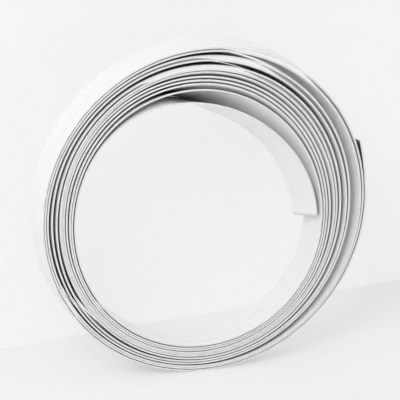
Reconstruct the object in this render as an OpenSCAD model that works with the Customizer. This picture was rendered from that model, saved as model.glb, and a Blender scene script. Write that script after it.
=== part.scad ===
// Loose roll of channel letter trim cap: one flat plastic strip, wound on its face
// into a spiral that has no core. The roll stands on its outermost turn. Its axis
// is along Y, its front is towards -Y, the floor is at Z = 0 and X = 0 is the
// middle of its width. Both free ends of the strip are on the right, at +X.

/* [Strip] */
// Width of the strip, from its front edge to its back edge
strip_w = 25.4; // [12:0.1:60]
// Thickness of the strip
strip_t = 1; // [0.7:0.1:3]
// Chamfer on the four long corners of the strip
corner = 0.2; // [0.05:0.05:0.3]

/* [Winding] */
// Diameter of the outermost bend of the roll
coil_d = 198; // [180:1:400]
// Full turns that the strip makes
turns = 12; // [2:1:14]
// Mean gap between two neighbouring turns
gap = 1; // [0.8:0.1:2.6]
// Sag of each turn in the next one out: more gap at the top, less at the bottom
sag = 0.75; // [0:0.05:0.8]
// Drift of each turn in the next one out: more gap at the right, less at the left
drift = 0.15; // [0:0.05:0.8]

/* [Outer free end] */
// Length of the outer end that springs off the roll
flare_l = 35; // [5:1:80]
// Radius that the outer end springs out to
flare_r = 160; // [110:5:400]

/* [Inner free end] */
// Extra drop in bend radius before the top, with which the inner end leaves the roll
tail_in = 4.4; // [0:0.2:8]
// Growth in bend radius after the top, with which it comes back towards the roll
tail_open = 5.6; // [0:0.2:8]
// Angle that the inner end goes on for below the middle height of the roll
tail_past = 8; // [1:1:30]

/* [Hidden] */
$fn = 180;

// The spiral is made of quarter bends that meet tangentially, numbered from the
// outside in and going clockwise: lower right, lower left, upper left, upper right.
bends = 4 * turns;
pitch = strip_t + gap;
// Drop in bend radius at the bottom, left, top and right meeting points
step = [pitch / 4 + sag / 2, pitch / 4 + drift / 2, pitch / 4 - sag / 2, pitch / 4 - drift / 2];
// Direction, in X and Z, from the bend's centre to each of those points
toward = [[0, -1], [-1, 0], [0, 1], [1, 0]];
first_centre = [-step[0] / 2, coil_d / 2];

// Drop in radius from the bend before to bend n, and how far its centre moves
function drop(n) = step[(n - 1) % 4]
    + (n == bends - 2 ? tail_in : 0)
    - (n == bends - 1 ? tail_open : 0);
function bend_r(n) = n == 0 ? coil_d / 2 : bend_r(n - 1) - drop(n);
function bend_centre(n) = n == 0 ? first_centre
    : bend_centre(n - 1) + drop(n) * toward[(n - 1) % 4];
function bend_start(n) = 270 - 90 * (n % 4);

// Cross-section of the strip, with its outer face at radius r
module strip_section(r) {
    translate([r - strip_t, -strip_w / 2])
        polygon([
            [corner, 0], [strip_t - corner, 0],
            [strip_t, corner], [strip_t, strip_w - corner],
            [strip_t - corner, strip_w], [corner, strip_w],
            [0, strip_w - corner], [0, corner],
        ]);
}

// Part of the strip bent to radius r about a centre in X and Z
module bend(centre, r, start, sweep) {
    translate([centre[0], 0, centre[1]])
        rotate([90, 0, 0])
            rotate([0, 0, start])
                rotate_extrude(angle = sweep)
                    strip_section(r);
}

// The outer end leaves the first bend tangentially, at the far right of the roll
module outer_end() {
    centre = first_centre - [flare_r - coil_d / 2, 0];
    bend(centre, flare_r, 0, flare_l / flare_r * 180 / PI);
}

// The inner end goes on from the last bend, past the right of the roll
module inner_end() {
    bend(bend_centre(bends - 1), bend_r(bends - 1), 0, -tail_past);
}

module trim_cap_strip() {
    color("white") {
        outer_end();
        for (n = [0:bends - 1])
            bend(bend_centre(n), bend_r(n), bend_start(n), 90);
        inner_end();
    }
}

trim_cap_strip();
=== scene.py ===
"""Looks of a loose roll of channel letter trim cap: one flat strip of glossy white plastic.

The strip is wound on its face, twelve turns with no core, and the roll stands on its
outermost turn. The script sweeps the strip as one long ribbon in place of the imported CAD
solid, gives it its plastic, and sets it on a pale floor in front of a pale wall.

Everything is in metres, in the frame of the CAD: the roll's axis is along Y, its front is
towards -Y, the floor is at Z = 0, and both free ends of the strip are on the right, at +X.
"""

import logging
import math
from dataclasses import astuple, dataclass, field
from enum import Enum

import bpy
import numpy as np
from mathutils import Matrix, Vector


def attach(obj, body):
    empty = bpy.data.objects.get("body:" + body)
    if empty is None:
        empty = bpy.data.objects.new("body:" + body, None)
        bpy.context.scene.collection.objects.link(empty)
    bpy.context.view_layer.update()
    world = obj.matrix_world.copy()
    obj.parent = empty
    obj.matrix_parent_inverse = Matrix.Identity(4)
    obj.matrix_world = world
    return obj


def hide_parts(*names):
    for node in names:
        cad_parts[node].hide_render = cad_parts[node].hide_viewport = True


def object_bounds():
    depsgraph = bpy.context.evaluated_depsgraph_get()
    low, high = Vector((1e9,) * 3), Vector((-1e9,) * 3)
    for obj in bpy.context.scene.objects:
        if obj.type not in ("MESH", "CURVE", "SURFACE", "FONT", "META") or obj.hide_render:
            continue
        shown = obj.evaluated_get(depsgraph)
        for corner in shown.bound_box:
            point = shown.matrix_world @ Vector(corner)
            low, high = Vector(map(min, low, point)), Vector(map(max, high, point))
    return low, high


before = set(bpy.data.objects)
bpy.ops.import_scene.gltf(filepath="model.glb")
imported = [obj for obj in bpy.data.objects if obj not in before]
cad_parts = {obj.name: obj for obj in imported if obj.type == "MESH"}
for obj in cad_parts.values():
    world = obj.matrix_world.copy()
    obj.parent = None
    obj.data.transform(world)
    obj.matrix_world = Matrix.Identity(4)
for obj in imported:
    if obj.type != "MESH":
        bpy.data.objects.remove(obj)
CAD_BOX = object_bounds()

log = logging.getLogger("trim_cap_roll")

CAD_NODE = "trim_cap_strip"
BODY = "root"
ROLL_NAME = "trim_cap_roll"
MM = 0.001
FULL_TURN = 2 * math.pi
TURN_DEGREES = 360
QUARTER_DEGREES = 90

Colour = tuple[float, float, float]
Scale = tuple[float, float, float]
# A number, and what it becomes.
Mapped = tuple[float, float]
Socket = bpy.types.NodeSocket


class Sides(Enum):
    """From which sides a stage surface can be seen."""

    BOTH = "both"
    FRONT_ONLY = "front only"


class Rule(Enum):
    """How two numbers make one."""

    PRODUCT = "MULTIPLY"
    LARGER = "MAXIMUM"


class Mixed(Enum):
    """What a mix is made of: the node's data type and the type of its sockets."""

    COLOUR = ("RGBA", "RGBA")
    NUMBER = ("FLOAT", "VALUE")


class Stretch(Enum):
    """Part of a turn over which the strip's back edge leans in.

    Each holds the shares of the turn, from the right of the roll on, where the lean begins,
    is full, begins to go and is gone.
    """

    LOWER_LEFT = (0.27, 0.35, 0.41, 0.49)
    UPPER_RIGHT = (0.58, 0.69, 0.88, 1.25)


def smooth_step(value: np.ndarray | float) -> np.ndarray | float:
    """Returns value clamped to 0..1, with soft starts and stops."""
    held = np.clip(value, 0.0, 1.0)
    return held * held * (3 - 2 * held)


@dataclass(frozen=True)
class Pattern:
    """A noise pattern that may be drawn out along the strip, and the range it is mapped to.

    Attributes:
        scale: Patches per metre along each coordinate.
        low: A strength of the noise, and what it and all below it become.
        high: A larger strength, and what it and all above it become.
        detail: How many finer layers lie on the first.
        roughness: How strong the finer layers are.
    """

    scale: Scale
    low: Mapped
    high: Mapped
    detail: float = 2.0
    roughness: float = 0.5


@dataclass
class NodeBench:
    """Adds and links shader nodes in one material or world.

    Attributes:
        tree: The node tree that the nodes go into.
    """

    tree: bpy.types.NodeTree

    def add(self, kind: str, **settings: object) -> bpy.types.Node:
        """Adds a node.

        Args:
            kind: The node's Blender type, such as "ShaderNodeBump".
            **settings: Properties to set on the node.

        Returns:
            The new node.
        """
        node = self.tree.nodes.new(kind)
        for name, value in settings.items():
            setattr(node, name, value)
        return node

    def feed(self, value: Socket | Colour | float, target: Socket) -> None:
        """Links an output to an input, or sets the input to a plain colour or number.

        Args:
            value: The output, the colour or the number.
            target: The input.
        """
        if isinstance(value, Socket):
            self.tree.links.new(value, target)
        elif isinstance(value, tuple):
            target.default_value = (*value, 1.0)
        else:
            target.default_value = value

    def stored(self, name: str, output: str = "Fac") -> Socket:
        """Returns what the mesh holds under a name."""
        return self.add("ShaderNodeAttribute", attribute_name=name).outputs[output]

    def spread(self, value: Socket, low: Mapped, high: Mapped) -> Socket:
        """Maps a value from one range to another, and holds it there.

        Args:
            value: The value to map.
            low: An input and the output that it becomes.
            high: A larger input and the output that it becomes.

        Returns:
            The mapped value.
        """
        ramp = self.add("ShaderNodeMapRange", clamp=True)
        ramp.inputs["From Min"].default_value = low[0]
        ramp.inputs["From Max"].default_value = high[0]
        ramp.inputs["To Min"].default_value = low[1]
        ramp.inputs["To Max"].default_value = high[1]
        self.feed(value, ramp.inputs["Value"])
        return ramp.outputs["Result"]

    def pattern(self, place: Socket, pattern: Pattern) -> Socket:
        """Adds a noise pattern.

        Args:
            place: The coordinates that it reads, in metres.
            pattern: The pattern and the range that it is mapped to.

        Returns:
            The mapped pattern.
        """
        drawn_out = self.add("ShaderNodeMapping")
        drawn_out.inputs["Scale"].default_value = pattern.scale
        self.feed(place, drawn_out.inputs["Vector"])
        noise = self.add("ShaderNodeTexNoise")
        noise.inputs["Scale"].default_value = 1.0
        noise.inputs["Detail"].default_value = pattern.detail
        noise.inputs["Roughness"].default_value = pattern.roughness
        self.feed(drawn_out.outputs["Vector"], noise.inputs["Vector"])
        return self.spread(noise.outputs["Fac"], pattern.low, pattern.high)

    def combine(self, rule: Rule, first: Socket, second: Socket | float) -> Socket:
        """Makes one number of two.

        Args:
            rule: How the two are combined.
            first: An output that gives a number.
            second: A number, or an output that gives one.

        Returns:
            The combined number.
        """
        node = self.add("ShaderNodeMath", operation=rule.value)
        self.feed(first, node.inputs[0])
        self.feed(second, node.inputs[1])
        return node.outputs["Value"]

    def mix(
        self,
        kind: Mixed,
        share: Socket,
        first: Socket | Colour | float,
        second: Socket | Colour | float,
    ) -> Socket:
        """Mixes two colours or two numbers.

        Args:
            kind: What is mixed.
            share: How much of the second one shows, from 0 to 1.
            first: A colour or a number, or an output that gives one.
            second: A colour or a number, or an output that gives one.

        Returns:
            The mix.
        """
        data_type, socket_type = kind.value
        node = self.add("ShaderNodeMix", data_type=data_type)
        self.feed(share, node.inputs["Factor"])
        for name, value in (("A", first), ("B", second)):
            same_kind = (s for s in node.inputs if s.name == name and s.type == socket_type)
            self.feed(value, next(same_kind))
        return next(s for s in node.outputs if s.type == socket_type)

    def mix_shader(self, share: Socket, first: Socket, second: Socket) -> Socket:
        """Mixes two shaders.

        Args:
            share: How much of the second one shows, from 0 to 1.
            first: A shader.
            second: Another one.

        Returns:
            The mixed shader.
        """
        node = self.add("ShaderNodeMixShader")
        for number, value in enumerate((share, first, second)):
            self.feed(value, node.inputs[number])
        return node.outputs["Shader"]


@dataclass(frozen=True)
class StripPlastic:
    """Finish of the strip: extruded white plastic with two slit edges.

    Its patterns are scaled along the strip, across its width and through its thickness.

    Attributes:
        face: Colour of the two wide faces.
        face_cool: Colour of the faintly cooler stretches of the faces.
        rim: Colour of the slit edges and of the scuffs at the corners.
        rim_dusty: Colour of the dust that the slit edges hold.
        painted_gap_shade: Colour of the shade painted deep between the turns.
        drift: How much of the cooler colour a stretch has.
        rim_dust: How much dust a place on the slit edges holds.
        scuffs: How much the corners are scuffed.
        uneven_shade: How evenly the painted shade between the turns lies.
        shade_low: A depth between the turns, and how much painted shade lies there.
        shade_high: A larger one.
        ior: Index of refraction of the plastic.
        coat: Share of the clear skin that the plastic has from the die.
        coat_gloss: Roughness of that skin.
        rubbed_gloss: Roughness of the rubbed corners.
        streaks: Roughness of the wide faces, in long stretches.
        grain: Roughness of the slit edges.
        lines: Height of the fine extrusion lines on the faces.
        saw_marks: Height of the slitting marks on the edges.
    """

    face: Colour = (0.91, 0.92, 0.92)
    face_cool: Colour = (0.88, 0.9, 0.905)
    rim: Colour = (0.85, 0.86, 0.86)
    rim_dusty: Colour = (0.68, 0.69, 0.69)
    # Painted shade for the strip where it lies deep between two turns.
    painted_gap_shade: Colour = (0.09, 0.09, 0.09)
    drift: Pattern = Pattern((2.5, 45, 30), (0.4, 0), (0.7, 1), detail=3)
    rim_dust: Pattern = Pattern((160, 700, 900), (0.42, 0), (0.75, 1), detail=4, roughness=0.65)
    scuffs: Pattern = Pattern((55, 420, 420), (0.5, 0), (0.72, 0.55), detail=5, roughness=0.7)
    uneven_shade: Pattern = Pattern((30, 260, 260), (0.2, 0.8), (0.6, 1), detail=3)
    shade_low: Mapped = (0.52, 0)
    shade_high: Mapped = (0.88, 1)
    ior: float = 1.49
    coat: float = 0.12
    coat_gloss: float = 0.12
    rubbed_gloss: float = 0.42
    streaks: Pattern = Pattern((9, 900, 60), (0.3, 0.24), (0.7, 0.38), detail=3)
    grain: Pattern = Pattern((500, 1500, 1500), (0.3, 0.42), (0.7, 0.6), detail=3)
    lines: Pattern = Pattern((1.5, 1300, 40), (0, 0), (1, 0.004 * MM))
    saw_marks: Pattern = Pattern((900, 300, 2600), (0, 0), (1, 0.02 * MM), detail=3)

    def material(self) -> bpy.types.Material:
        """Makes the strip's material, which reads the coordinates stored on the strip.

        Returns:
            The material.
        """
        material = bpy.data.materials.new("strip_plastic")
        material.use_nodes = True
        bench = NodeBench(material.node_tree)
        shader = material.node_tree.nodes["Principled BSDF"]
        shader.inputs["IOR"].default_value = self.ior
        shader.inputs["Coat Weight"].default_value = self.coat
        shader.inputs["Coat Roughness"].default_value = self.coat_gloss
        place = bench.stored("strip_place", "Vector")
        rim = bench.stored("slit_edge")
        worn = bench.stored("near_corner")
        bench.feed(self._colour(bench, place, rim, worn), shader.inputs["Base Color"])
        bench.feed(self._gloss(bench, place, rim, worn), shader.inputs["Roughness"])
        bench.feed(self._relief(bench, place, rim), shader.inputs["Normal"])
        return material

    def _colour(self, bench: NodeBench, place: Socket, rim: Socket, worn: Socket) -> Socket:
        """Colours the faces, the scuffed corners and the slit edges, and paints shade deep in the
        gaps.

        Args:
            bench: Where the nodes go.
            place: The strip's own coordinates.
            rim: 1 on the slit edges, 0 on the faces.
            worn: 1 at the long corners, falling to 0 on the faces.

        Returns:
            The colour.
        """
        drift = bench.pattern(place, self.drift)
        face = bench.mix(Mixed.COLOUR, drift, self.face, self.face_cool)
        rim_dust = bench.pattern(place, self.rim_dust)
        slit = bench.mix(Mixed.COLOUR, rim_dust, self.rim, self.rim_dusty)
        scuffs = bench.combine(Rule.PRODUCT, bench.pattern(place, self.scuffs), worn)
        scuffed = bench.mix(Mixed.COLOUR, scuffs, face, self.rim)
        # Painted shade: the strip darkens where it lies deep between two turns.
        depth = bench.spread(bench.stored("sheltered"), self.shade_low, self.shade_high)
        uneven_shade = bench.combine(Rule.PRODUCT, depth, bench.pattern(place, self.uneven_shade))
        gap_shaded = bench.mix(Mixed.COLOUR, uneven_shade, scuffed, self.painted_gap_shade)
        return bench.mix(Mixed.COLOUR, rim, gap_shaded, slit)

    def _gloss(self, bench: NodeBench, place: Socket, rim: Socket, worn: Socket) -> Socket:
        """Makes the faces glossy in long uneven stretches, and the edges duller.

        Args:
            bench: Where the nodes go.
            place: The strip's own coordinates.
            rim: 1 on the slit edges, 0 on the faces.
            worn: 1 at the long corners, falling to 0 on the faces.

        Returns:
            The roughness.
        """
        streaks = bench.pattern(place, self.streaks)
        rubbed = bench.mix(Mixed.NUMBER, worn, streaks, self.rubbed_gloss)
        return bench.mix(Mixed.NUMBER, rim, rubbed, bench.pattern(place, self.grain))

    def _relief(self, bench: NodeBench, place: Socket, rim: Socket) -> Socket:
        """Draws fine extrusion lines along the faces and slitting marks on the edges.

        Args:
            bench: Where the nodes go.
            place: The strip's own coordinates.
            rim: 1 on the slit edges, 0 on the faces.

        Returns:
            The bumped normal.
        """
        lines = bench.pattern(place, self.lines)
        saw_marks = bench.pattern(place, self.saw_marks)
        bump = bench.add("ShaderNodeBump")
        bump.inputs["Strength"].default_value = 1.0
        bump.inputs["Distance"].default_value = 1.0
        bench.feed(bench.mix(Mixed.NUMBER, rim, lines, saw_marks), bump.inputs["Height"])
        return bump.outputs["Normal"]


@dataclass(frozen=True)
class StagePaint:
    """Matt paint of the floor or the wall.

    Attributes:
        name: Name of the material.
        colour: Colour of the paint.
        mottle: Colour of its faintly darker patches.
        sides: From which sides the surface shows.
        backdrop: Share of a plain backdrop's own white that is seen in it.
        white: Colour of that white.
        clouds: How much of the darker colour a patch has.
        roughness: Roughness of the paint.
        specular: How strongly it reflects.
    """

    name: str
    colour: Colour
    mottle: Colour
    sides: Sides = Sides.BOTH
    backdrop: float = 0.0
    white: Colour = (0.96, 0.965, 0.965)
    clouds: Pattern = Pattern((1.6, 1.6, 1.6), (0.35, 0), (0.7, 1))
    roughness: float = 0.85
    specular: float = 0.2

    def material(self) -> bpy.types.Material:
        """Makes the material, see-through from behind where it has one side.

        Returns:
            The material.
        """
        material = bpy.data.materials.new(self.name)
        material.use_nodes = True
        bench = NodeBench(material.node_tree)
        shader = material.node_tree.nodes["Principled BSDF"]
        shader.inputs["Roughness"].default_value = self.roughness
        shader.inputs["Specular IOR Level"].default_value = self.specular
        place = bench.add("ShaderNodeNewGeometry")
        clouds = bench.pattern(place.outputs["Position"], self.clouds)
        paint = bench.mix(Mixed.COLOUR, clouds, self.colour, self.mottle)
        bench.feed(paint, shader.inputs["Base Color"])
        surface = self._seen_white(bench, shader.outputs["BSDF"])
        if self.sides is Sides.FRONT_ONLY:
            clear = bench.add("ShaderNodeBsdfTransparent").outputs["BSDF"]
            surface = bench.mix_shader(place.outputs["Backfacing"], surface, clear)
        output = material.node_tree.nodes["Material Output"]
        bench.feed(surface, output.inputs["Surface"])
        return material

    def _seen_white(self, bench: NodeBench, surface: Socket) -> Socket:
        """Adds the backdrop's own white where it is seen, and lights nothing with it.

        Args:
            bench: Where the nodes go.
            surface: The painted surface.

        Returns:
            The surface with the white in it.
        """
        rays = bench.add("ShaderNodeLightPath").outputs
        seen = bench.combine(Rule.LARGER, rays["Is Camera Ray"], rays["Is Glossy Ray"])
        seen = bench.combine(Rule.LARGER, seen, rays["Is Transmission Ray"])
        share = bench.combine(Rule.PRODUCT, seen, self.backdrop)
        white = bench.add("ShaderNodeEmission")
        white.inputs["Strength"].default_value = 1.0
        bench.feed(self.white, white.inputs["Color"])
        return bench.mix_shader(share, surface, white.outputs["Emission"])


@dataclass(frozen=True)
class TurnGaps:
    """Gaps between one turn and the next one in, in millimetres.

    The strip winds on clockwise, from the right past the bottom, the left and the top.

    Attributes:
        right: Gap at the right of the roll.
        low_right: Gap at its lower right.
        bottom: Gap at its bottom, where the turns press on each other.
        low_left: Gap at its lower left.
        left: Gap at its left.
        up_left: Gap at its upper left.
        top: Gap at its top, where each turn hangs away from the one above it.
        up_right: Gap at its upper right, where the turns are loosest.
    """

    right: float
    low_right: float
    bottom: float
    low_left: float
    left: float
    up_left: float
    top: float
    up_right: float


LOOSE_TURNS = (
    TurnGaps(1.2, 0.4, 0.6, 0.4, 0.1, 0.1, 0.6, 1.9),
    TurnGaps(0.4, 0.03, 0.03, 0.2, 0.6, 0.4, 1.8, 4.6),
    TurnGaps(6.4, 3.7, 0.03, 0.9, 2.1, 0.8, 1.5, 2.4),
    TurnGaps(0.6, 0.1, 0.6, 0.5, 2.0, 1.4, 2.2, 2.2),
    TurnGaps(3.3, 1.7, 0.03, 2.1, 0.9, 1.2, 1.0, 1.9),
    TurnGaps(1.0, 0.4, 0.6, 0.03, 0.03, 0.4, 0.4, 1.9),
    TurnGaps(0.1, 0.03, 0.03, 0.03, 0.03, 0.2, 2.1, 1.6),
    TurnGaps(2.4, 0.3, 0.03, 0.03, 0.7, 0.6, 1.1, 1.3),
    TurnGaps(1.0, 0.3, 0.6, 0.03, 1.3, 1.5, 1.1, 1.3),
    TurnGaps(0.4, 0.03, 0.03, 0.2, 0.1, 1.7, 3.1, 2.2),
    TurnGaps(0.5, 0.5, 0.7, 0.6, 0.6, 1.0, 8.8, 7.8),
    TurnGaps(2.0, 0.6, 0.6, 0.6, 0.6, 0.6, 0.6, 0.6),
)


@dataclass(frozen=True)
class Lean:
    """A stretch of the strip whose back edge lies nearer the middle than its front edge.

    Attributes:
        first: Turns wound where the back edge begins to lean in.
        most: Turns wound where it leans in furthest, from there on to most_to.
        most_to: Turns wound where it begins to come back.
        last: Turns wound where it no longer leans in.
        depth: How much nearer the middle it lies there.
    """

    first: float
    most: float
    most_to: float
    last: float
    depth: float

    def at(self, wound: np.ndarray) -> np.ndarray:
        """Works out the lean at each cross-section.

        Args:
            wound: Turns wound at each cross-section.

        Returns:
            How far the back edge leans in.
        """
        rising = smooth_step((wound - self.first) / (self.most - self.first))
        falling = smooth_step((self.last - wound) / (self.last - self.most_to))
        return self.depth * rising * falling


def leans_along(stretch: Stretch, first_turn: int, depths: tuple[float, ...]) -> list[Lean]:
    """Lets the same part of several turns lean in.

    Args:
        stretch: The part of each turn.
        first_turn: Turns wound before the first of them.
        depths: How far each of them leans in, in millimetres.

    Returns:
        One lean for each depth.
    """
    return [
        Lean(*(turn + share for share in stretch.value), depth * MM)
        for turn, depth in enumerate(depths, start=first_turn)
    ]


LEANS = (
    *leans_along(Stretch.UPPER_RIGHT, 1, (5.0, 3.0, 7.0, 4.0, 12.0, 13.0, 13.0, 13.0, 13.0)),
    *leans_along(Stretch.LOWER_LEFT, 2, (3.0, 2.6, 2.1)),
    # The last turn of the pack, over the hollow that the tail leaves.
    Lean(10.64, 10.77, 10.80, 11.10, 15.0 * MM),
    # The tail itself.
    Lean(11.67, 11.79, 11.97, 12.10, 8.8 * MM),
)


@dataclass
class TrimCapRoll:
    """The roll: one strip from its outer free end to its inner free end.

    A turn is counted from the right of the roll, clockwise.

    Attributes:
        strip_w: Width of the strip, along Y.
        strip_t: Thickness of the strip.
        corner: Radius of the strip's four long corners.
        corner_faces: Faces around each of them.
        face_rows: Rows of points across each wide face, on one side of its middle, as
            shares of the width.
        first_turn: Radius of the outermost turn in the eight directions of TurnGaps.
        loose_turns: Gaps inside each turn, from the outermost one inwards.
        roundings: How often the turns' change from one direction to the next is evened out.
        flare_angle: Angle that the outer free end takes up, in degrees.
        flare_r: Radius that the outer free end springs out to.
        outer_slant: How much further the back corner of the outer end is cut off.
        tail_past: Angle that the inner free end goes on past the right, in degrees.
        tail_slant: How much further the back corner of the inner end goes on.
        slant_reach: Length of strip that each slanting cut takes up, in slants.
        leans: Where and how far the strip's back edge leans in.
        lean_play: Room left between two turns that lean on each other.
        lean_blend: Share of a turn over which a lean is evened out.
        telescope: How far the turns stand out at the front or the back.
        telescope_turns: Turns from one that stands out to the next.
        telescope_start: Where the outermost turn stands between them, in radians.
        gap_reach: How soon a narrow gap counts as deep, for the painted shade.
        pocket_shade: How much a wide gap that closes towards the back counts as deep, for the
            painted shade.
        pocket_mouth: Width of gap from which this counts.
        mouth_light: How much of its depth a wide gap loses to the light that comes in.
        light_from: Width of gap from which light comes in, as a share of pocket_mouth.
        open_air: Room outside the outermost turn and inside the innermost one.
        wear_reach: Share of the width over which the rubbing at a corner fades.
        rings_per_turn: Cross-sections in each turn.
        finish: Plastic that the strip is made of.
    """

    strip_w: float = 25.4 * MM
    strip_t: float = 1.0 * MM
    corner: float = 0.12 * MM
    corner_faces: int = 3
    face_rows: tuple[float, ...] = (0.485, 0.45, 0.36, 0.12)
    first_turn: tuple[float, ...] = (
        98.6 * MM,
        97.6 * MM,
        97.5 * MM,
        98.3 * MM,
        98.4 * MM,
        97.8 * MM,
        97.7 * MM,
        98.7 * MM,
    )
    loose_turns: tuple[TurnGaps, ...] = LOOSE_TURNS
    roundings: int = 2
    flare_angle: float = 20.0
    flare_r: float = 160 * MM
    outer_slant: float = 5 * MM
    tail_past: float = 8.0
    tail_slant: float = 7 * MM
    slant_reach: float = 6.0
    leans: tuple[Lean, ...] = LEANS
    lean_play: float = 0.3 * MM
    lean_blend: float = 0.05
    telescope: float = 0.25 * MM
    telescope_turns: float = 3.3
    telescope_start: float = 1.1
    gap_reach: float = 2.4
    pocket_shade: float = 0.74
    pocket_mouth: float = 3.0 * MM
    mouth_light: float = 0.35
    light_from: float = 0.5
    open_air: float = 254 * MM
    wear_reach: float = 0.14
    rings_per_turn: int = 180
    finish: StripPlastic = field(default_factory=StripPlastic)

    def build(self) -> bpy.types.Object:
        """Makes the strip, dresses it and ties it to the CAD.

        Returns:
            The strip's object.
        """
        wound = self._wound()
        radius = self._outer_radius(wound)
        lean = self._lean(wound, radius)
        front, back = self._edges(wound, radius, lean)
        section = self._section()
        strip = self._mesh(front, back, section, self._shelter(radius, lean, section))
        strip.data.materials.append(self.finish.material())
        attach(strip, BODY)
        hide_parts(CAD_NODE)
        return strip

    @property
    def turns(self) -> int:
        """Turns from the right of the outermost turn to the right of the innermost."""
        return len(self.loose_turns)

    def _wound(self) -> np.ndarray:
        """Counts the turns along the strip, from the outer end inwards.

        Returns:
            The turns wound at each cross-section, less than 0 on the outer free end.
        """
        before = round(self.flare_angle / TURN_DEGREES * self.rings_per_turn)
        after = round((self.turns + self.tail_past / TURN_DEGREES) * self.rings_per_turn)
        return np.arange(-before, after + 1) / self.rings_per_turn

    def _stacked_radii(self) -> list[float]:
        """Stacks the turns and their gaps from the outside in.

        Returns:
            The strip's outer radius in each direction, for one turn more than it makes.
        """
        radii = list(self.first_turn)
        for turn in self.loose_turns:
            outside = radii[-len(self.first_turn) :]
            gaps = astuple(turn)
            radii += [outer - self.strip_t - gap * MM for outer, gap in zip(outside, gaps)]
        return radii

    def _outer_radius(self, wound: np.ndarray) -> np.ndarray:
        """Works out how far the strip's outer face is from the outermost turn's centre.

        The radius runs straight from one direction to the next and is then rounded off,
        which never takes up a gap.

        Args:
            wound: Turns wound at each cross-section.

        Returns:
            The radius at each cross-section.
        """
        radii = self._stacked_radii()
        directions = len(self.first_turn)
        spare = self.rings_per_turn // 2
        step = wound[1] - wound[0]
        before = wound[0] + step * np.arange(-spare, 0)
        after = wound[-1] + step * np.arange(1, spare + 1)
        turned = np.concatenate([before, wound, after])
        first = -1 / directions
        marks = np.arange(len(radii) + 1) / directions + first
        radius = np.interp(turned, marks, [self.first_turn[-1], *radii])
        window = np.ones(self.rings_per_turn // directions)
        for _ in range(self.roundings):
            radius = np.convolve(radius, window / len(window), mode="same")
        return radius[spare:-spare]

    def _lean(self, wound: np.ndarray, radius: np.ndarray) -> np.ndarray:
        """Works out how far the back edge leans in, until it meets the next turn.

        Args:
            wound: Turns wound at each cross-section.
            radius: Radius of the outer face at each cross-section.

        Returns:
            How far in the back edge stands at each cross-section.
        """
        turn = self.rings_per_turn
        lean = sum(stretch.at(wound) for stretch in self.leans)
        room = radius[:-turn] - self.strip_t - radius[turn:] - self.lean_play
        # From the innermost turn outwards, since each one leans on the next one in.
        for start in range(len(wound) - 2 * turn, -turn, -turn):
            here = slice(max(start, 0), start + turn)
            inner = slice(here.start + turn, here.stop + turn)
            lean[here] = np.minimum(lean[here], room[here] + lean[inner])
        reach = int(turn * self.lean_blend / 2)
        window = np.ones(2 * reach + 1)
        padded = np.pad(lean, reach, mode="edge")
        return np.maximum(np.convolve(padded, window / len(window), mode="valid"), 0)

    def _edges(
        self, wound: np.ndarray, radius: np.ndarray, lean: np.ndarray
    ) -> tuple[np.ndarray, np.ndarray]:
        """Places the middle of the strip's front edge and of its back edge.

        Args:
            wound: Turns wound at each cross-section.
            radius: Radius of the outer face at each cross-section.
            lean: How far in the back edge stands at each cross-section.

        Returns:
            The points of the front edge and of the back edge.
        """
        angle = -FULL_TURN * wound
        level = np.zeros_like(angle)
        middle_r = radius - self.strip_t / 2
        x, z = self._sprung_out(wound, middle_r * np.cos(angle), middle_r * np.sin(angle))
        swing = np.sin(FULL_TURN * wound / self.telescope_turns + self.telescope_start)
        front = np.stack([x, self.telescope * swing - self.strip_w / 2, z], axis=1)
        inwards = np.stack([-np.cos(angle), level, -np.sin(angle)], axis=1)
        depth = np.sqrt(self.strip_w**2 - lean**2)
        back = front + inwards * lean[:, None] + np.stack([level, depth, level], axis=1)
        return self._set_down(front, back)

    def _sprung_out(
        self, wound: np.ndarray, x: np.ndarray, z: np.ndarray
    ) -> tuple[np.ndarray, np.ndarray]:
        """Lets the outer free end leave the roll along its tangent.

        Args:
            wound: Turns wound at each cross-section.
            x: Places across the roll.
            z: Places above the roll's centre.

        Returns:
            The new places.
        """
        free = wound < 0
        first = np.argmax(~free)
        turned = -wound[free] * FULL_TURN * x[first] / self.flare_r
        x = x.copy()
        z = z.copy()
        x[free] = x[first] - self.flare_r * (1 - np.cos(turned))
        z[free] = z[first] + self.flare_r * np.sin(turned)
        return x, z

    def _set_down(self, front: np.ndarray, back: np.ndarray) -> tuple[np.ndarray, np.ndarray]:
        """Stands the roll on the floor, in the middle of the CAD's width.

        Args:
            front: Points of the front edge.
            back: Points of the back edge.

        Returns:
            Both edges in their places.
        """
        low, high = CAD_BOX
        lowest = min(front[:, 2].min(), back[:, 2].min()) - self.strip_t / 2
        middle = (front[:, 0].min() + front[:, 0].max()) / 2
        move = np.array([(low.x + high.x) / 2 - middle, 0, low.z - lowest])
        return front + move, back + move

    def _gaps(self, radius: np.ndarray, lean: np.ndarray) -> list[np.ndarray]:
        """Measures the gaps outside and inside the strip.

        Args:
            radius: Radius of the outer face at each cross-section.
            lean: How far in the back edge stands at each cross-section.

        Returns:
            The gaps at the front edge, and then those at the back edge. Each cross-section
            has the gap outside the strip and then the one inside it.
        """
        turn = self.rings_per_turn
        front = np.full(len(radius) + turn, self.open_air)
        front[turn:-turn] = radius[:-turn] - self.strip_t - radius[turn:]
        back = front.copy()
        back[turn:-turn] += lean[turn:] - lean[:-turn]
        return [np.stack([gap[:-turn], gap[turn:]], axis=1) for gap in (front, back)]

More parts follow.
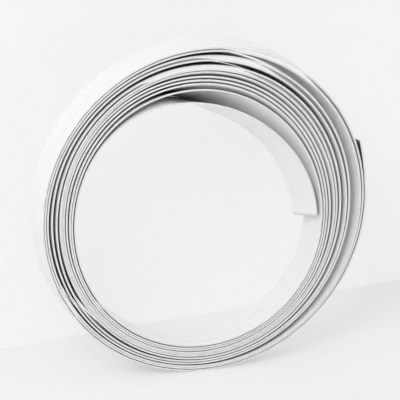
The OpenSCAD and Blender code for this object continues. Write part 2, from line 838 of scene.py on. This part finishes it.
    def _shelter(self, radius: np.ndarray, lean: np.ndarray, section: np.ndarray) -> np.ndarray:
        """Works out how deep each point lies between two turns, which sets how much shade is
        painted there.

        Args:
            radius: Radius of the outer face at each cross-section.
            lean: How far in the back edge stands at each cross-section.
            section: Points of the cross-section.

        Returns:
            0 where the strip lies open, up to 1 deep inside a narrow gap.
        """
        share = section[:, 0] / self.strip_w + 0.5
        side = (section[:, 1] < 0).astype(int)
        front, back = (gap[:, side] for gap in self._gaps(radius, lean))
        here = front + (back - front) * share
        from_front = np.minimum(front, here)
        from_back = np.minimum(back, here)
        open_front = from_front / (from_front + self.gap_reach * self.strip_w * share)
        open_back = from_back / (from_back + self.gap_reach * self.strip_w * (1 - share))
        # How much shade is painted here: less where a wide gap lets light in, more in a pocket that
        # closes towards the back.
        lit = np.clip(front / self.pocket_mouth - self.light_from, 0, 1) * self.mouth_light
        deep = (1 - open_front) * (1 - open_back) * (1 - lit)
        pocket = np.clip(front / self.pocket_mouth - 1, 0, 1)
        closing = np.clip(1 - back / np.maximum(front, self.strip_t), 0, 1)
        return np.maximum(deep, pocket * closing * self.pocket_shade)

    def _section(self) -> np.ndarray:
        """Draws the strip's cross-section, once round from the back of its outer face.

        Returns:
            Points as (across the width, through the thickness), from the strip's middle.
        """
        half_w = self.strip_w / 2
        half_t = self.strip_t / 2
        back_rows = [share * self.strip_w for share in self.face_rows]
        rows = back_rows + [-row for row in reversed(back_rows)]
        outer_face = [(row, half_t) for row in rows]
        inner_face = [(-row, -half_t) for row in rows]
        points = []
        for before, side_w, side_t, start in (
            (outer_face, -1, 1, QUARTER_DEGREES),
            ([], -1, -1, 2 * QUARTER_DEGREES),
            (inner_face, 1, -1, 3 * QUARTER_DEGREES),
            ([], 1, 1, 0),
        ):
            points += before
            for step in range(self.corner_faces + 1):
                turn = math.radians(start + step * QUARTER_DEGREES / self.corner_faces)
                along_w = side_w * (half_w - self.corner) + self.corner * math.cos(turn)
                along_t = side_t * (half_t - self.corner) + self.corner * math.sin(turn)
                points.append((along_w, along_t))
        return np.array(points)

    def _mesh(
        self, front: np.ndarray, back: np.ndarray, section: np.ndarray, shelter: np.ndarray
    ) -> bpy.types.Object:
        """Sweeps the cross-section along the two edges and closes both ends.

        Args:
            front: Points of the front edge.
            back: Points of the back edge.
            section: Points of the cross-section.
            shelter: How deep each point lies between two turns.

        Returns:
            The strip's object, with its own coordinates stored on it.
        """
        middle = (front + back) / 2
        run = np.concatenate([[0], np.cumsum(np.linalg.norm(np.diff(middle, axis=0), axis=1))])
        points = self._swept(middle, back - front, section, self._cut_back(run, section[:, 0]))
        mesh = bpy.data.meshes.new(ROLL_NAME)
        mesh.from_pydata(points.tolist(), [], self._faces(len(run), len(section)))
        mesh.validate()
        mesh.update()
        self._mark(mesh, run, section, shelter)
        mesh.shade_smooth()
        strip = bpy.data.objects.new(ROLL_NAME, mesh)
        bpy.context.scene.collection.objects.link(strip)
        return strip

    def _swept(
        self, middle: np.ndarray, across: np.ndarray, section: np.ndarray, cut_back: np.ndarray
    ) -> np.ndarray:
        """Sets the cross-section at each place along the strip.

        Args:
            middle: Middle of the strip at each cross-section.
            across: Way from its front edge to its back edge there.
            section: Points of the cross-section.
            cut_back: How far each of them is moved along the strip.

        Returns:
            The points, one cross-section after the other.
        """
        along = np.gradient(middle, axis=0)
        along /= np.linalg.norm(along, axis=1, keepdims=True)
        across = across / np.linalg.norm(across, axis=1, keepdims=True)
        outward = np.cross(along, across)
        outward /= np.linalg.norm(outward, axis=1, keepdims=True)
        points = (
            middle[:, None, :]
            + across[:, None, :] * section[None, :, 0:1]
            + outward[:, None, :] * section[None, :, 1:2]
            + along[:, None, :] * cut_back[:, :, None]
        )
        return points.reshape(-1, 3)

    def _faces(self, rings: int, around: int) -> list[tuple[int, ...]]:
        """Joins the cross-sections to each other, and closes the first and the last one.

        Args:
            rings: Number of cross-sections.
            around: Number of points in each.

        Returns:
            The faces, as numbers of their points.
        """
        faces = [
            (
                ring * around + side,
                ring * around + (side + 1) % around,
                (ring + 1) * around + (side + 1) % around,
                (ring + 1) * around + side,
            )
            for ring in range(rings - 1)
            for side in range(around)
        ]
        outer_end = tuple(reversed(range(around)))
        inner_end = tuple(range((rings - 1) * around, rings * around))
        return [*faces, outer_end, inner_end]

    def _cut_back(self, run: np.ndarray, across: np.ndarray) -> np.ndarray:
        """Works out how far the slanting cuts move each point of the two ends.

        Args:
            run: Length of strip up to each cross-section.
            across: Place of each section point across the width.

        Returns:
            The move along the strip for each cross-section and section point.
        """
        share = across / self.strip_w + 0.5
        outer_run = run / (self.slant_reach * self.outer_slant)
        inner_run = (run[-1] - run) / (self.slant_reach * self.tail_slant)
        outer = self.outer_slant * (1 - smooth_step(outer_run))
        inner = self.tail_slant * (1 - smooth_step(inner_run))
        return (outer + inner)[:, None] * share[None, :]

    def _mark(
        self, mesh: bpy.types.Mesh, run: np.ndarray, section: np.ndarray, shelter: np.ndarray
    ) -> None:
        """Stores the strip's own coordinates, slit edges, rubbed corners and shelter, which sets
        the painted shade.

        Args:
            mesh: The strip's mesh.
            run: Length of strip up to each cross-section.
            section: Points of the cross-section.
            shelter: How deep each point lies between two turns.
        """
        rings = len(run)
        place = np.empty((rings, len(section), 3), np.float32)
        place[:, :, 0] = run[:, None]
        place[:, :, 1:] = section[None, :, :]
        stored = mesh.attributes.new("strip_place", "FLOAT_VECTOR", "POINT")
        stored.data.foreach_set("vector", place.ravel())
        from_edge = self.strip_w / 2 - np.abs(section[:, 0])
        slit = np.clip(1 - from_edge / self.corner, 0, 1)
        near = np.clip(1 - from_edge / (self.strip_w * self.wear_reach), 0, 1)
        marks = {
            "slit_edge": np.tile(slit, rings),
            "near_corner": np.tile(near, rings),
            # How much shade is painted between the turns.
            "sheltered": shelter.ravel(),
        }
        for name, values in marks.items():
            stored = mesh.attributes.new(name, "FLOAT", "POINT")
            stored.data.foreach_set("value", values.astype(np.float32))


@dataclass
class Studio:
    """Pale floor, pale wall, one soft lamp, the light of the room and the camera.

    Attributes:
        floor_size: Side of the floor.
        wall_behind: Distance from the roll's front to the wall, behind the roll's middle.
        wall_turn: Angle between the wall and the roll's front, in degrees.
        azimuth: Direction that the camera looks from, in degrees.
        elevation: Height that the camera looks from, in degrees.
        distance: Distance from the camera to the point that it looks at.
        lens: Focal length of the camera, in millimetres.
        sensor_width: Width of its sensor, in millimetres.
        clip: Nearest and furthest distance at which the camera sees anything.
        aim_left: How far left of the roll's middle it looks.
        aim_up: How far above the roll's middle it looks.
        key_place: Where the lamp hangs, from the roll's middle.
        key_size: Length of the lamp's side.
        key_power: Power of the lamp, in watts.
        room_level: Strength of the room's light from the sides.
        ceiling_level: Strength of the room's light from above.
        front_share: Share of its strength that the room's light has straight in front.
        fade_to: How far up, or how far forward, a direction points where its light has
            fully changed.
        floor_paint: Paint of the floor.
        wall_paint: Paint of the wall.
    """

    floor_size: float = 9.0
    wall_behind: float = 0.092
    wall_turn: float = 10.0
    azimuth: float = -18.0
    elevation: float = 17.5
    distance: float = 2.54
    lens: float = 396.0
    sensor_width: float = 36.0
    clip: tuple[float, float] = (0.05, 50.0)
    aim_left: float = 3.7 * MM
    aim_up: float = 6.2 * MM
    key_place: tuple[float, float, float] = (-0.9, -1.25, 1.1)
    key_size: float = 0.7
    key_power: float = 11.5
    room_level: float = 0.9
    ceiling_level: float = 0.98
    front_share: float = 0.58
    fade_to: float = 0.9
    floor_paint: StagePaint = StagePaint(
        "floor_paint", (0.88, 0.88, 0.885), (0.86, 0.86, 0.87), backdrop=0.45
    )
    wall_paint: StagePaint = StagePaint(
        "wall_paint", (0.88, 0.885, 0.885), (0.86, 0.865, 0.87), Sides.FRONT_ONLY, backdrop=0.7
    )

    def set_camera(self) -> bpy.types.Object:
        """Makes the camera, which looks a little left of and above the middle of the roll.

        Returns:
            The camera's object.
        """
        low, high = CAD_BOX
        camera = bpy.data.objects.new("camera", bpy.data.cameras.new("camera"))
        bpy.context.scene.collection.objects.link(camera)
        camera.data.sensor_width = self.sensor_width
        camera.data.lens = self.lens
        camera.data.clip_start, camera.data.clip_end = self.clip
        azimuth = math.radians(self.azimuth)
        elevation = math.radians(self.elevation)
        back = Vector(
            (
                math.sin(azimuth) * math.cos(elevation),
                -math.cos(azimuth) * math.cos(elevation),
                math.sin(elevation),
            )
        )
        turn = (-back).to_track_quat("-Z", "Y")
        right = turn @ Vector((1, 0, 0))
        up = turn @ Vector((0, 1, 0))
        front_middle = Vector(((low.x + high.x) / 2, low.y, (low.z + high.z) / 2))
        aim = front_middle - right * self.aim_left + up * self.aim_up
        camera.rotation_mode = "QUATERNION"
        camera.rotation_quaternion = turn
        camera.location = aim + back * self.distance
        bpy.context.scene.camera = camera
        return camera

    def set_stage(self) -> None:
        """Lays the floor and stands the wall behind the roll."""
        half = self.floor_size / 2
        floor = self._sheet("floor", [(-half, -half), (half, -half), (half, half), (-half, half)])
        floor.data.materials.append(self.floor_paint.material())
        wall = self._sheet("wall", [(-half, 0), (half, 0), (half, half), (-half, half)])
        wall.rotation_euler = (math.pi / 2, 0, math.radians(self.wall_turn))
        wall.location = (0, CAD_BOX[0].y + self.wall_behind, 0)
        wall.data.materials.append(self.wall_paint.material())

    def _sheet(self, name: str, outline: list[tuple[float, float]]) -> bpy.types.Object:
        """Makes a flat stage surface that faces up.

        Args:
            name: Name of the surface.
            outline: Its corners, anticlockwise from above.

        Returns:
            The surface's object.
        """
        mesh = bpy.data.meshes.new(name)
        corners = range(len(outline))
        mesh.from_pydata([(x, y, 0) for x, y in outline], [], [tuple(corners)])
        mesh.update()
        sheet = bpy.data.objects.new(name, mesh)
        bpy.context.scene.collection.objects.link(sheet)
        return sheet

    def set_lights(self) -> None:
        """Hangs one soft lamp at the left in front of the roll, and lights the room around it."""
        middle = Vector((0, 0, CAD_BOX[1].z / 2))
        place = middle + Vector(self.key_place)
        lamp = bpy.data.objects.new("key", bpy.data.lights.new("key", "AREA"))
        bpy.context.scene.collection.objects.link(lamp)
        lamp.data.shape = "SQUARE"
        lamp.data.size = self.key_size
        lamp.data.energy = self.key_power
        lamp.location = place
        lamp.rotation_mode = "QUATERNION"
        lamp.rotation_quaternion = (middle - place).to_track_quat("-Z", "Y")
        self._light_room()

    def _light_room(self) -> None:
        """Lights the room a little more from above than from the sides, and less from the front."""
        world = bpy.data.worlds.new("room")
        bpy.context.scene.world = world
        world.use_nodes = True
        bench = NodeBench(world.node_tree)
        towards = bench.add("ShaderNodeTexCoord").outputs["Generated"]
        axes = bench.add("ShaderNodeSeparateXYZ")
        bench.feed(towards, axes.inputs["Vector"])
        above = (self.fade_to, self.ceiling_level)
        upward = bench.spread(axes.outputs["Z"], (0.0, self.room_level), above)
        ahead = (-self.fade_to, self.front_share)
        frontward = bench.spread(axes.outputs["Y"], ahead, (0.0, 1.0))
        room = world.node_tree.nodes["Background"]
        room.inputs["Color"].default_value = (1.0, 1.0, 1.0, 1.0)
        bench.feed(bench.combine(Rule.PRODUCT, upward, frontward), room.inputs["Strength"])


def main() -> None:
    """Builds the camera, the stage and the roll."""
    logging.basicConfig(level=logging.INFO, format="%(name)s: %(message)s")
    studio = Studio()
    studio.set_camera()
    studio.set_stage()
    studio.set_lights()
    strip = TrimCapRoll().build()
    log.info("%s: %d faces", strip.name, len(strip.data.polygons))
    bpy.context.scene.view_settings.view_transform = "Standard"


if __name__ == "__main__":
    main()
